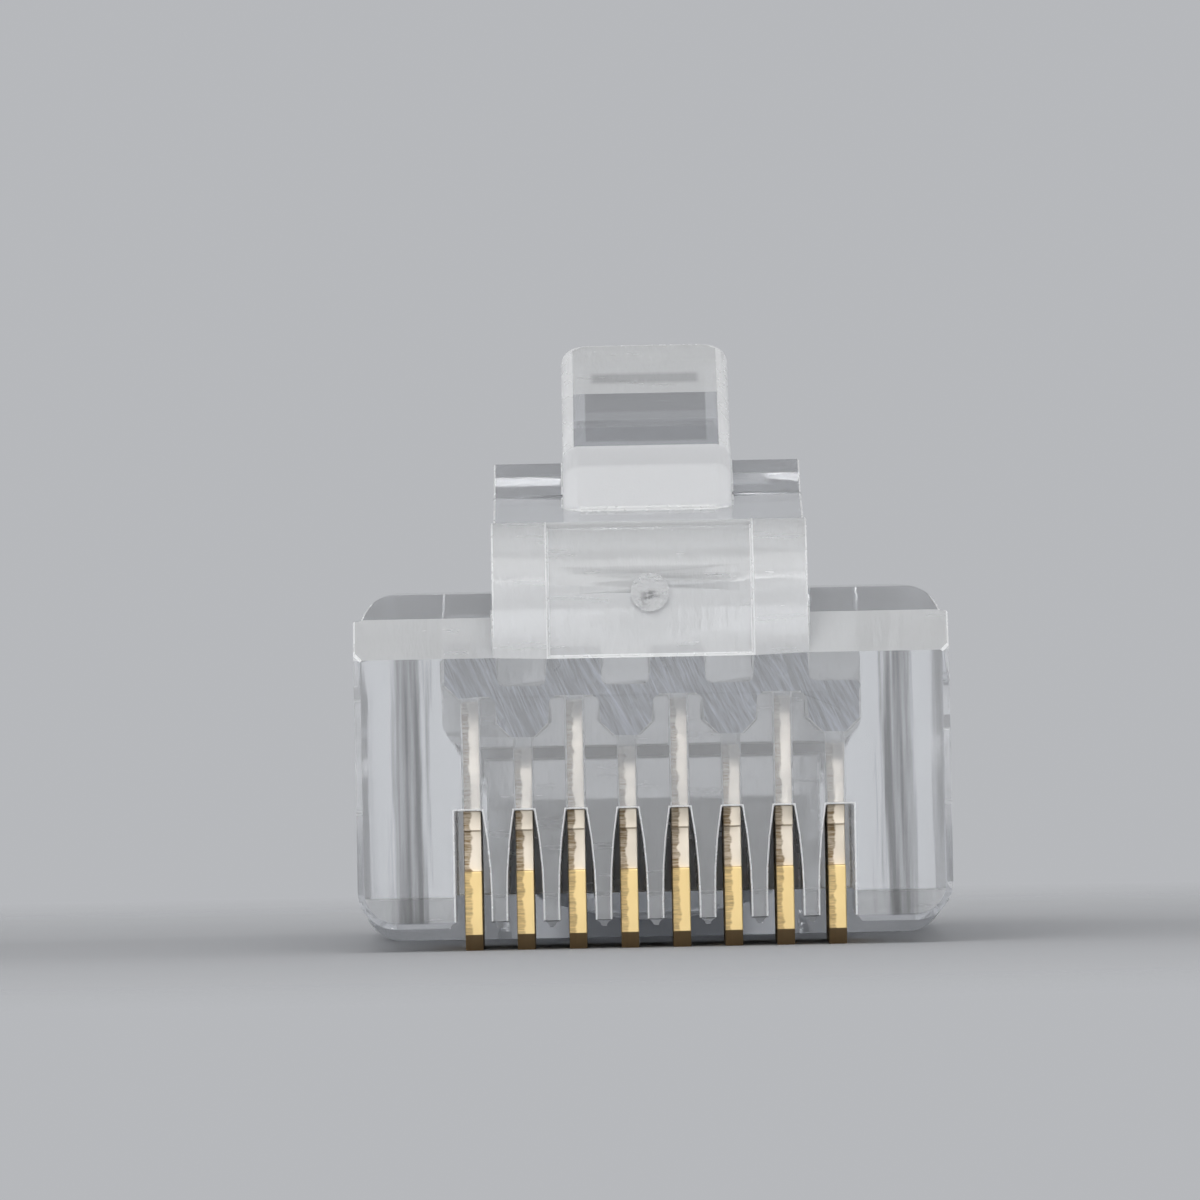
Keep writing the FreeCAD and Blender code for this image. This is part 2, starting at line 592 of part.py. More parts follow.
def make_blade(doc, number):
    """Blades of odd number reach the high channels, the others the low ones."""
    body = doc.addObject("PartDesign::Body", "Contact%d" % number)
    body.Label = "contact_%d" % number
    height = "tall" if number % 2 else "short"
    side_feature(body, "Pad", "Blade", "#blade_thickness",
                 blade_outline("#%s_shoulder" % height, "#%s_top" % height))
    body.setExpression("Placement.Base.x", named("#pitch * (%d - (#ways + 1) / 2)" % number))
    return body


def size(body, words):
    """The present value of an expression on the sheet."""
    return float(body.Document.Sizes.evalExpression(named(words).replace("Sizes.", "")))


def fill_sheet(doc):
    sheet = doc.addObject("Spreadsheet::Sheet", "Sizes")
    for row, (name, value, meaning) in enumerate(SIZES, start=1):
        sheet.set("A%d" % row, name)
        sheet.set("B%d" % row, str(value))
        sheet.set("C%d" % row, meaning)
        sheet.setAlias("B%d" % row, name)
    doc.recompute()


def check(doc, bodies):
    """Stop if any feature failed, or a piece isn't one sound solid."""
    for item in doc.Objects:
        if "Invalid" in item.State or "Error" in item.State:
            raise RuntimeError("%s failed: %s" % (item.Name, item.State))
        if item.isDerivedFrom("Sketcher::SketchObject") and not item.FullyConstrained:
            raise RuntimeError("%s isn't fully constrained" % item.Name)
    for body in bodies:
        if body.Shape.isNull() or not body.Shape.isValid() or len(body.Shape.Solids) != 1:
            raise RuntimeError("%s isn't one valid solid" % body.Label)


def main():
    doc = FreeCAD.newDocument("ModularPlug")
    fill_sheet(doc)
    ways = int(doc.Sizes.ways)
    bodies = [make_housing(doc), make_latch(doc)] + [make_blade(doc, n + 1) for n in range(ways)]
    doc.recompute()
    check(doc, bodies)
    os.makedirs("parts", exist_ok=True)
    for body in bodies:
        body.Shape.exportStep(os.path.join("parts", body.Label + ".step"))


main()
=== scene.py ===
import math

import bmesh
import bpy
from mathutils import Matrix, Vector


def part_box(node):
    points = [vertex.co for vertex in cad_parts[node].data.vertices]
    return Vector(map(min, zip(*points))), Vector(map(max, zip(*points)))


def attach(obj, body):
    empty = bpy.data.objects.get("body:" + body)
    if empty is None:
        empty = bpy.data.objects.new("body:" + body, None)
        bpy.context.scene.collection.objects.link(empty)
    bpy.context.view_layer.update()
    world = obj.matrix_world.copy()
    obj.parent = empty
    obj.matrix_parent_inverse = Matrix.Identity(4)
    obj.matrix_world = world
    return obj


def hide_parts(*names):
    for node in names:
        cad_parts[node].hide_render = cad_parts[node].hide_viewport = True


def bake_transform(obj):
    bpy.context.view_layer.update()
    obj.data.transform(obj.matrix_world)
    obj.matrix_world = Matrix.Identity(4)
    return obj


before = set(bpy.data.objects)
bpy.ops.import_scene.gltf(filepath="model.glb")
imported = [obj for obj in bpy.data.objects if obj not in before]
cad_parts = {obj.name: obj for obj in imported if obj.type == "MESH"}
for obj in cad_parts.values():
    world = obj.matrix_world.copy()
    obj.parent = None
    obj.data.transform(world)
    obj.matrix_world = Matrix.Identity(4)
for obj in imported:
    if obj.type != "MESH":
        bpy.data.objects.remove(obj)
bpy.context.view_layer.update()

bl_info = {
    "name": "Clear modular plug",
    "version": (1, 0, 0),
    "blender": (4, 5, 0),
    "location": "3D View > Sidebar > Plug",
    "description": "Dresses the packed modular plug: clear moulding, sprung latch and gold blades",
    "category": "Add Mesh",
}

# Everything is in metres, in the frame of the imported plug: the nose faces -Y, the latch is on top,
# the blades look down, and the floor is Z = 0.

MM = 0.001
# Fine work is done on a mesh a thousand times its size, because Blender's tools round off
# below about a micrometre.
WORK_SCALE = 1000.0
# How far a point may be from a plane and still lie on it.
TOUCH = 0.001 * MM

NOSE_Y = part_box("housing")[0].y
BLADES = sorted(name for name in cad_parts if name.startswith("contact_"))
BLADE_BOXES = {name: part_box(name) for name in BLADES}

# Depths are measured behind the nose face, heights up from the blades' tips, and each half
# width out from the middle.

# The body. Faces at the end wall's depth that are narrower than END_WALL_WIDTH end the slots.
END_WALL, END_WALL_WIDTH = 0.70 * MM, 0.45 * MM
NOSE_EDGE = 5.74 * MM
# Heights at which the body's faces are split, so that each part can take its own material.
BODY_CUTS = 4.18 * MM, 4.95 * MM, NOSE_EDGE
CORE_START, CORE_END = 6.20 * MM, 13.2 * MM
GATE_DEPTH, GATE_HALF = 0.11 * MM, 0.42 * MM
GATE_LOW, GATE_HIGH, GATE_PIT = 6.55 * MM, 7.41 * MM, 6.88 * MM
# The painted shade bands beside the comb: where each begins and ends, from clear to dark to clear.
BAND_INNER, BAND_OUTER = (4.40 * MM, 4.62 * MM), (4.98 * MM, 5.16 * MM)

# The latch root, and the neck that carries it into the latch.
ROOT_BACK, ROOT_HALF, ROOT_TOP = 1.484 * MM, 3.10 * MM, 8.30 * MM
ARM_HALF, ARM_BOTTOM, ARM_TOP = 3.05 * MM, 7.498 * MM, 8.377 * MM
FILLER_FRONT, FILLER_ROUNDING = 1.25 * MM, 0.22 * MM
NECK_FRONT, NECK_END, NECK_ROUNDING = 1.20 * MM, 1.80 * MM, 0.34 * MM

# The latch: its frosted block, the tab with its window of painted shade, and the thin line of
# painted shade above that.
BLOCK_START, BLOCK_END, BLOCK_HALF = 3.35 * MM, 6.60 * MM, 1.70 * MM
TAB_TIP = 13.4 * MM
WINDOW_LOW, WINDOW_HIGH, WINDOW_HALF = 10.00 * MM, 10.95 * MM, 1.22 * MM
LINE_LOW, LINE_HIGH, LINE_HALF = 11.20 * MM, 11.32 * MM, 1.12 * MM
BEND_RINGS = 7

# The blades: top of the bevelled tip, which is painted dark as a painted reflection of the shadowed
# floor, and of the thickly plated face.
BLADE_BEVEL, BLADE_FACE = 0.32 * MM, 1.55 * MM

# Numbers of the materials on a moulded piece.
CLEAR, MARKED, SATIN_PAINTED_LIGHT, PAINTED_HIGHLIGHT, SCAR = range(5)
# A face looks along an axis when that part of its normal is above this.
FACING = 0.9
REFRACTION = 1.585
# An edge is softened when it is sharper and longer than this.
SHARP, LONG = math.radians(50), 0.1 * MM

# The studio: each lamp's name, place, width, height and power.
LAMPS = (
    ("key", (-0.05, -0.22, 0.24), 0.32, 0.18, 0.32),
    ("strip", (0.0, -0.30, 0.13), 0.52, 0.022, 0.28),
    ("front", (0.0, -0.60, 0.04), 0.40, 0.30, 0.36),
    ("left", (-0.26, 0.04, 0.07), 0.20, 0.16, 0.18),
    ("right", (0.26, 0.04, 0.07), 0.20, 0.16, 0.18),
)
LAMP_TARGET = (0, 0, 6 * MM)
AIR_LIGHT = 0.45
CAMERA_TARGET = Vector((-0.98 * MM, NOSE_Y, 6.84 * MM))
SENSOR_WIDTH = 36.0
FLOOR_RADIUS, FADE_START, FADE_END = 0.12, 16 * MM, 60 * MM
# Light passes many clear walls before it leaves the plug.
GLASS_BOUNCES, CLEAR_BOUNCES = 28, 12


# ---------------------------------------------------------------- sizes and colours to change

class PlugSizes(bpy.types.PropertyGroup):
    moulded_edge: bpy.props.FloatProperty(
        name="Moulded edge", description="Softness of the clear moulding's edges",
        default=0.035 * MM, min=0.0, unit="LENGTH")
    blade_edge: bpy.props.FloatProperty(
        name="Blade edge", description="Roll-over on the stamped blades' edges",
        default=0.018 * MM, min=0.0, unit="LENGTH")
    bend_length: bpy.props.FloatProperty(
        name="Bend length", description="Stretch of the latch over which it bends",
        default=1.4 * MM, min=0.1 * MM, unit="LENGTH")
    seam: bpy.props.FloatProperty(
        name="Seam", description="Hairline between the latch root and the latch",
        default=0.006 * MM, min=0.0, unit="LENGTH")


class PlugFinish(bpy.types.PropertyGroup):
    clear: bpy.props.FloatVectorProperty(
        name="Clear plastic", description="Tint of the clear moulding",
        subtype="COLOR", default=(0.91, 0.925, 0.95), min=0.0, max=1.0)
    milkiness: bpy.props.FloatProperty(
        name="Milkiness", description="Share of light that the moulding scatters",
        default=0.19, min=0.0, max=1.0, subtype="FACTOR")
    frosted: bpy.props.FloatVectorProperty(
        name="Frosted plastic", description="Tint of the textured faces",
        subtype="COLOR", default=(0.90, 0.91, 0.93), min=0.0, max=1.0)
    ground: bpy.props.FloatVectorProperty(
        name="Ground face", description="Tint of the channels' end wall with its grinding marks",
        subtype="COLOR", default=(0.30, 0.32, 0.37), min=0.0, max=1.0)
    # Painted shade: how dark the streaked bands beside the comb are painted.
    bands: bpy.props.FloatProperty(
        name="Side bands", description="Depth of the dark upright bands beside the comb",
        default=0.88, min=0.0, max=1.0, subtype="FACTOR")
    # Painted shade: how dark the field in the tab's window is painted.
    window: bpy.props.FloatProperty(
        name="Tab window", description="Depth of the darker field in the middle of the tab",
        default=0.42, min=0.0, max=1.0, subtype="FACTOR")
    gold: bpy.props.FloatVectorProperty(
        name="Gold", description="Plating on the blades",
        subtype="COLOR", default=(0.92, 0.70, 0.34), min=0.0, max=1.0)
    flash: bpy.props.FloatVectorProperty(
        name="Thin gold", description="Thin plating above the blades' working edges",
        subtype="COLOR", default=(0.88, 0.79, 0.66), min=0.0, max=1.0)
    # This colour is also the painted reflection of the shadowed floor on the blades' bevelled tips.
    torn: bpy.props.FloatVectorProperty(
        name="Torn edge", description="Where the stamping tore the blade's edge",
        subtype="COLOR", default=(0.34, 0.24, 0.13), min=0.0, max=1.0)


class PlugStudio(bpy.types.PropertyGroup):
    backdrop: bpy.props.FloatVectorProperty(
        name="Backdrop", description="Pale grey behind and under the plug",
        subtype="COLOR", default=(0.47, 0.48, 0.50), min=0.0, max=1.0)
    distance: bpy.props.FloatProperty(
        name="Camera distance", description="From the nose face to the camera",
        default=0.43, min=0.05, unit="LENGTH")
    frame_width: bpy.props.FloatProperty(
        name="View width", description="Width of the view where the nose is",
        default=23.52 * MM, min=1 * MM, unit="LENGTH")
    elevation: bpy.props.FloatProperty(
        name="Elevation", description="How far the camera looks down",
        default=math.radians(0.15), unit="ROTATION")
    roll: bpy.props.FloatProperty(
        name="Roll", description="How far the camera leans",
        default=math.radians(1.1), unit="ROTATION")


def sizes():
    """The sizes that the panel shows."""
    return bpy.context.scene.plug_sizes


def finish():
    """The colours that the panel shows."""
    return bpy.context.scene.plug_finish


def studio():
    """The studio settings that the panel shows."""
    return bpy.context.scene.plug_studio


# ---------------------------------------------------------------- material helpers

def adder(tree):
    """A function that adds a node to tree; a setting fills the input or property of its name."""
    def add(kind, **settings):
        node = tree.nodes.new(kind)
        for key, value in settings.items():
            if key in node.inputs:
                node.inputs[key].default_value = value
            else:
                setattr(node, key, value)
        return node

    return add


def new_material(name):
    """A node material with its Principled shader, and a function that adds nodes to it."""
    material = bpy.data.materials.new(name)
    material.use_nodes = True
    tree = material.node_tree
    return material, tree, tree.nodes["Principled BSDF"], adder(tree)


def feed(tree, value, socket):
    """Link value to socket if it is a socket too, and write it in if it is a number or colour."""
    if isinstance(value, bpy.types.NodeSocket):
        tree.links.new(value, socket)
    else:
        socket.default_value = value


def axes(tree, add, kind="Object"):
    """The X, Y and Z of the point that is shaded."""
    place = add("ShaderNodeTexCoord")
    split = add("ShaderNodeSeparateXYZ")
    tree.links.new(place.outputs[kind], split.inputs["Vector"])
    return split.outputs["X"], split.outputs["Y"], split.outputs["Z"]


def object_pattern(tree, add, scale, lean=0):
    """Object coordinates, leaning by so many degrees and then stretched by scale.

    scale is in pattern repeats per metre along each axis.
    """
    vector = add("ShaderNodeTexCoord").outputs["Object"]
    turns = [("Rotation", (0, math.radians(lean), 0))] if lean else []
    for setting, value in turns + [("Scale", scale)]:
        mapping = add("ShaderNodeMapping")
        mapping.inputs[setting].default_value = value
        tree.links.new(vector, mapping.inputs["Vector"])
        vector = mapping.outputs["Vector"]
    return vector


def noise(tree, add, scale, detail, roughness=0.5, lean=0):
    """Cloudy pattern on the object; scale is in repeats per metre along each axis."""
    node = add("ShaderNodeTexNoise", Scale=1.0, Detail=detail, Roughness=roughness)
    tree.links.new(object_pattern(tree, add, scale, lean), node.inputs["Vector"])
    return node.outputs["Fac"]


def compute(tree, add, operation, *values):
    """Result of a Math node; each value is a number or a socket."""
    node = add("ShaderNodeMath", operation=operation)
    for socket, value in zip(node.inputs, values):
        feed(tree, value, socket)
    return node.outputs[0]


def multiply(tree, add, first, *others):
    """Product of all the sockets."""
    for other in others:
        first = compute(tree, add, "MULTIPLY", first, other)
    return first


def span(tree, add, value, low, high, out_low, out_high):
    """Map value from low..high to out_low..out_high, held at both ends."""
    node = add("ShaderNodeMapRange")
    for socket, number in (("From Min", low), ("From Max", high),
                           ("To Min", out_low), ("To Max", out_high)):
        node.inputs[socket].default_value = number
    tree.links.new(value, node.inputs["Value"])
    return node.outputs["Result"]


def within(tree, add, value, low, high, soft):
    """1 where value is between low and high, fading to 0 over soft outside them."""
    return multiply(tree, add, span(tree, add, value, low - soft, low, 0.0, 1.0),
                    span(tree, add, value, high, high + soft, 1.0, 0.0))


def mix_colour(tree, add, factor, first, second):
    """Colour that goes from first to second; each is a colour or a socket."""
    node = add("ShaderNodeMix", data_type="RGBA")
    tree.links.new(factor, node.inputs["Factor"])
    # Inputs 6 and 7 are the two colours of this node; it has others for numbers and vectors.
    for socket, colour in ((node.inputs[6], first), (node.inputs[7], second)):
        is_socket = isinstance(colour, bpy.types.NodeSocket)
        feed(tree, colour if is_socket else (*colour, 1), socket)
    return node.outputs[2]


def paint_shade(tree, add, shader, factor, colour, share):
    """Paint shade into the shader's colour, going down to that share of the colour where factor is
    1.
    """
    tint = mix_colour(tree, add, factor, colour, [part * share for part in colour])
    tree.links.new(tint, shader.inputs["Base Color"])


def bump(tree, add, shader, height, distance, strength=1.0, after=None):
    """Raise the surface by height; after is an earlier bump that this one is laid over."""
    node = add("ShaderNodeBump", Distance=distance, Strength=strength)
    tree.links.new(height, node.inputs["Height"])
    if after:
        tree.links.new(after, node.inputs["Normal"])
    tree.links.new(node.outputs["Normal"], shader.inputs["Normal"])
    return node.outputs["Normal"]


def roughen(tree, add, shader, *settings):
    """Drive the roughness by a pattern; settings are those of span."""
    tree.links.new(span(tree, add, *settings), shader.inputs["Roughness"])


def plastic(name, colour, transmission):
    """A new material with the moulding's refraction."""
    material, tree, shader, add = new_material(name)
    shader.inputs["Base Color"].default_value = (*colour, 1)
    shader.inputs["Transmission Weight"].default_value = transmission
    shader.inputs["IOR"].default_value = REFRACTION
    return material, tree, shader, add


# ---------------------------------------------------------------- materials

def clear_plastic():
    """Polished clear moulding, with painted shade: darker in two streaked bands beside the comb and
    in the tab.
    """
    look = finish()
    material, tree, shader, add = plastic("polished_moulding", look.clear, 1.0 - look.milkiness)
    streaks = noise(tree, add, (9000, 9000, 260), 5)
    roughen(tree, add, shader, streaks, 0.35, 0.75, 0.01, 0.12)
    bump(tree, add, shader, streaks, 0.002 * MM, 0.4)
    across, depth, height = axes(tree, add)
    sideways = compute(tree, add, "ABSOLUTE", across)
    waver = span(tree, add, streaks, 0.3, 0.7, -0.16 * MM, 0.16 * MM)
    wavering = compute(tree, add, "ADD", sideways, waver)
    # Painted shade: two streaked dark bands on the nose face beside the comb.
    band_shade = multiply(
        tree, add,
        span(tree, add, wavering, *BAND_INNER, 0.0, 1.0),
        span(tree, add, wavering, *BAND_OUTER, 1.0, 0.0),
        # Only on the nose face itself.
        span(tree, add, depth, NOSE_Y + 0.02 * MM, NOSE_Y + 0.04 * MM, look.bands, 0.0),
        span(tree, add, streaks, 0.35, 0.62, 0.55, 1.0))
    # Painted shade: a darker field in the middle of the tab.
    window = multiply(
        tree, add,
        span(tree, add, sideways, WINDOW_HALF - 0.03 * MM, WINDOW_HALF, look.window, 0.0),
        within(tree, add, height, WINDOW_LOW, WINDOW_HIGH, 0.05 * MM))
    paint_shade(tree, add, shader, compute(tree, add, "MAXIMUM", band_shade, window), look.clear, 0.06)
    return material


def satin_painted_light_plastic():
    """The moulding where the mould was only brushed, made paler and less clear as painted light,
    with a thin line of painted shade across the tab.
    """
    pale = (0.93, 0.94, 0.95)
    material, tree, shader, add = plastic("satin_moulding_painted_light", pale, 0.50)
    brushed = noise(tree, add, (600, 1800, 5000), 5)
    ripple = noise(tree, add, (5200, 500, 1500), 4)
    roughen(tree, add, shader, brushed, 0.35, 0.7, 0.08, 0.30)
    first = bump(tree, add, shader, brushed, 0.006 * MM, 0.5)
    bump(tree, add, shader, ripple, 0.04 * MM, 0.7, after=first)
    across, _, height = axes(tree, add)
    sideways = compute(tree, add, "ABSOLUTE", across)
    # Painted shade: a thin dark line across the tab.
    line_shade = multiply(
        tree, add,
        span(tree, add, sideways, LINE_HALF - 0.10 * MM, LINE_HALF, 0.45, 0.0),
        within(tree, add, height, LINE_LOW, LINE_HIGH, 0.07 * MM))
    paint_shade(tree, add, shader, line_shade, pale, 0.25)
    return material


def painted_highlight_edge():
    """The moulding's rounded edges, painted whiter and less clear than the moulding: a painted
    highlight that reads as fine white lines.
    """
    material, tree, shader, add = plastic("edge_moulding_painted_highlight", (0.96, 0.97, 0.98), 0.25)
    roughen(tree, add, shader, noise(tree, add, (3000, 500, 3000), 3), 0.3, 0.7, 0.15, 0.45)
    return material


def gate_scar():
    """The stub where the plastic ran into the mould, torn, and darker in the middle with painted
    shade in its pit.
    """
    pale = (0.94, 0.945, 0.95)
    material, tree, shader, add = plastic("gate_scar", pale, 0.52)
    torn = noise(tree, add, (3600, 3600, 6200), 5, roughness=0.6)
    roughen(tree, add, shader, torn, 0.35, 0.65, 0.05, 0.3)
    bump(tree, add, shader, torn, 0.12 * MM, 0.9)
    place = add("ShaderNodeTexCoord")
    away = add("ShaderNodeVectorMath", operation="DISTANCE")
    away.inputs[1].default_value = (0.0, NOSE_Y, GATE_PIT)
    tree.links.new(place.outputs["Object"], away.inputs[0])
    # Painted shade in the pit at the gate's middle.
    pit_shade = multiply(
        tree, add,
        span(tree, add, away.outputs["Value"], 0.08 * MM, 0.24 * MM, 1.0, 0.0),
        span(tree, add, torn, 0.44, 0.54, 0.0, 1.0))
    paint_shade(tree, add, shader, pit_shade, pale, 0.35)
    return material


def frosted_plastic():
    """The moulding off a textured part of the mould."""
    material, tree, shader, add = plastic("frosted_moulding", finish().frosted, 0.30)
    grain = noise(tree, add, (26000, 26000, 26000), 5)
    roughen(tree, add, shader, grain, 0.3, 0.7, 0.38, 0.6)
    bump(tree, add, shader, grain, 0.012 * MM, 0.7)
    return material


def ground_wall():
    """The end wall of the wire channels, with the slanting marks of the ground mould core."""
    look = finish()
    material, tree, shader, add = plastic("ground_wall", look.ground, 0.12)
    fine = noise(tree, add, (19000, 19000, 900), 6, roughness=0.65, lean=22)
    coarse = noise(tree, add, (9000, 9000, 700), 6, roughness=0.65, lean=31)
    marks = compute(tree, add, "MAXIMUM", fine, coarse)
    ramp = add("ShaderNodeValToRGB")
    for stop, position, share in zip(ramp.color_ramp.elements, (0.46, 0.72), (0.6, 2.5)):
        stop.position = position
        stop.color = (*[min(1, part * share) for part in look.ground], 1)
    tree.links.new(marks, ramp.inputs["Fac"])
    tree.links.new(ramp.outputs["Color"], shader.inputs["Base Color"])
    broad = noise(tree, add, (1300, 1300, 1300), 2)
    roughen(tree, add, shader, broad, 0.3, 0.7, 0.22, 0.45)
    bump(tree, add, shader, marks, 0.02 * MM, 0.8)
    return material


def blade_gold():
    """Gold plate over a stamped blade: each edge is burnished on one side and torn on the other, and
    the bevelled tip is painted dark in the torn colour as a painted reflection of the shadowed
    floor.
    """
    look = finish()
    material, tree, shader, add = new_material("blade_gold")
    shader.inputs["Metallic"].default_value = 1.0
    # How far across its own blade a point is, from 0 to 1: the blades repeat at one pitch.
    low, high = BLADE_BOXES[BLADES[0]]
    pitch = (BLADE_BOXES[BLADES[-1]][0].x - low.x) / (len(BLADES) - 1)
    half = (high.x - low.x) / 2
    sideways, _, height = axes(tree, add)
    steps = compute(tree, add, "ADD", sideways, pitch / 2 - low.x - half)
    wrapped = compute(tree, add, "FLOORED_MODULO", steps, pitch)
    across = span(tree, add, wrapped, pitch / 2 - half, pitch / 2 + half, 0.0, 1.0)

    ragged = noise(tree, add, (1500, 1500, 5200), 4)
    waver = span(tree, add, ragged, 0.3, 0.7, -0.12, 0.12)
    torn = span(tree, add, compute(tree, add, "ADD", across, waver), 0.34, 0.44, 1.0, 0.0)
    marks = noise(tree, add, (2500, 2500, 24000), 4, roughness=0.7)
    above = span(tree, add, height, BLADE_FACE, BLADE_FACE + 0.02 * MM, 0.0, 1.0)
    # Painted reflection: below the top of the bevel the blade takes the torn colour, standing for
    # the shadowed floor it faces.
    below = span(tree, add, height, BLADE_BEVEL - 0.02 * MM, BLADE_BEVEL, 1.0, 0.0)
    stain = multiply(tree, add, torn,
                     span(tree, add, marks, 0.38, 0.62, 1.0, 0.25),
                     span(tree, add, above, 0.0, 1.0, 0.7, 1.0))
    plate = mix_colour(tree, add, above, look.gold, look.flash)
    plate = mix_colour(tree, add, stain, plate, look.torn)
    tree.links.new(mix_colour(tree, add, below, plate, look.torn), shader.inputs["Base Color"])

    burnish = span(tree, add, noise(tree, add, (2500, 3000, 1800), 3), 0.3, 0.7, 0.30, 0.46)
    rough = compute(tree, add, "MULTIPLY_ADD", torn, 0.18, burnish)
    tree.links.new(rough, shader.inputs["Roughness"])
    bump(tree, add, shader, multiply(tree, add, marks, torn), 0.003 * MM, 0.5)
    return material


def floor_paint():
    """Pale floor that fades into the backdrop, so that no edge shows."""
    material, tree, shader, add = new_material("floor_paint")
    look = studio()
    shader.inputs["Base Color"].default_value = (*look.backdrop, 1)
    shader.inputs["Roughness"].default_value = 0.7
    shader.inputs["Specular IOR Level"].default_value = 0.15
    place = add("ShaderNodeTexCoord")
    reach = add("ShaderNodeVectorMath", operation="LENGTH")
    tree.links.new(place.outputs["Object"], reach.inputs[0])
    fade = span(tree, add, reach.outputs["Value"], FADE_START, FADE_END, 0.0, 1.0)
    clear = add("ShaderNodeBsdfTransparent")
    mix = add("ShaderNodeMixShader")
    tree.links.new(fade, mix.inputs["Fac"])
    tree.links.new(shader.outputs["BSDF"], mix.inputs[1])
    tree.links.new(clear.outputs["BSDF"], mix.inputs[2])
    tree.links.new(mix.outputs["Shader"], tree.nodes["Material Output"].inputs["Surface"])
    return material


# ---------------------------------------------------------------- modelling helpers

def pick(obj):
    """Make obj the only selected object."""
    bpy.ops.object.select_all(action="DESELECT")
    obj.select_set(True)
    bpy.context.view_layer.objects.active = obj


def resize(obj, factor):
    """Scale the mesh about the origin and leave the object unscaled."""
    pick(obj)
    obj.scale = (factor,) * 3
    bpy.ops.object.transform_apply(location=False, rotation=False, scale=True)


def edit(obj, choose="SELECT"):
    """Open obj in edit mode with all of its mesh selected, or none of it."""
    pick(obj)
    bpy.ops.object.mode_set(mode="EDIT")
    bpy.ops.mesh.select_all(action=choose)


def weld(obj):
    """Merge doubled points and make flat faces whole."""
    edit(obj)
    bpy.ops.mesh.remove_doubles(threshold=0.0005)
    bpy.ops.mesh.dissolve_limited(angle_limit=math.radians(0.4))
    bpy.ops.object.mode_set(mode="OBJECT")


def copy_of(node, name):
    """A working copy of a CAD node, welded, with its flat faces made whole, at working scale."""
    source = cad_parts[node]
    obj = bpy.data.objects.new(name, source.data.copy())
    bpy.context.scene.collection.objects.link(obj)
    obj.data.materials.clear()
    resize(obj, WORK_SCALE)
    weld(obj)
    return obj


def cut(obj, place, across, keep_far=False):
    """Cut the mesh by a plane at place, in metres.

    keep_far drops the near side and closes the cut.
    """
    edit(obj)
    bpy.ops.mesh.bisect(plane_co=Vector(place) * WORK_SCALE, plane_no=across, use_fill=keep_far,
                        clear_inner=keep_far)
    bpy.ops.object.mode_set(mode="OBJECT")


def block(name, low, high):
    """A box between two corners (metres), at working scale."""
    low, high = Vector(low) * WORK_SCALE, Vector(high) * WORK_SCALE
    bpy.ops.object.select_all(action="DESELECT")
    bpy.ops.mesh.primitive_cube_add(size=1, location=(low + high) / 2, scale=high - low)
    obj = bpy.context.object
    obj.name = name
    bpy.ops.object.transform_apply(location=True, rotation=False, scale=True)
    return obj


def bevel_edges(obj, width, chosen):
    """Bevel the edges whose middle passes the test chosen; width and middle are in metres."""
    edit(obj, "DESELECT")
    mesh = bmesh.from_edit_mesh(obj.data)
    for edge in mesh.edges:
        ends = [vertex.co / WORK_SCALE for vertex in edge.verts]
        edge.select_set(chosen((ends[0] + ends[1]) / 2))
    bmesh.update_edit_mesh(obj.data)
    bpy.ops.mesh.bevel(offset=width * WORK_SCALE, segments=1, affect="EDGES")
    bpy.ops.object.mode_set(mode="OBJECT")


def apply_modifier(obj, kind, name, **settings):
    """Add a modifier to obj and apply it."""
    modifier = obj.modifiers.new(name, kind)
    for key, value in settings.items():
        setattr(modifier, key, value)
    pick(obj)
    bpy.ops.object.modifier_apply(modifier=name)


def join_solid(obj, extra):
    """Unite a second closed mesh with obj."""
    apply_modifier(obj, "BOOLEAN", "join", operation="UNION", solver="EXACT", object=extra)
    bpy.data.objects.remove(extra)


def soften_edges(obj, width, material=-1, spared=lambda at: False):
    """Bevel the long sharp edges, but not those whose middle (metres) passes the test spared.

    width is in metres, material is the number that the bevels take.
    """
    mesh = bmesh.new()
    mesh.from_mesh(obj.data)
    weight = mesh.edges.layers.float.new("bevel_weight_edge")
    for edge in mesh.edges:
        middle = (edge.verts[0].co + edge.verts[1].co) / 2 / WORK_SCALE
        sharp = edge.calc_face_angle(0) > SHARP
        long_enough = edge.calc_length() > LONG * WORK_SCALE
        edge[weight] = sharp and long_enough and not spared(middle)
    mesh.to_mesh(obj.data)
    mesh.free()
    apply_modifier(obj, "BEVEL", "soft_edges", width=width * WORK_SCALE, segments=2,
                   limit_method="WEIGHT", use_clamp_overlap=False, material=material)


def close(obj):
    """Back to real size, smooth where it curves, with the large flat faces kept truly flat."""
    resize(obj, 1 / WORK_SCALE)
    bpy.ops.object.shade_smooth_by_angle(angle=math.radians(20))
    apply_modifier(obj, "WEIGHTED_NORMAL", "flat_faces", keep_sharp=True)


def dress(obj, materials, choose):
    """Give obj its materials, and each face the one whose number choose returns, in metres."""
    for material in materials:
        obj.data.materials.append(material)
    for face in obj.data.polygons:
        across = [obj.data.vertices[index].co.x / WORK_SCALE for index in face.vertices]
        width = max(across) - min(across)
        face.material_index = choose(face.center / WORK_SCALE, face.normal, width)


# ---------------------------------------------------------------- pieces

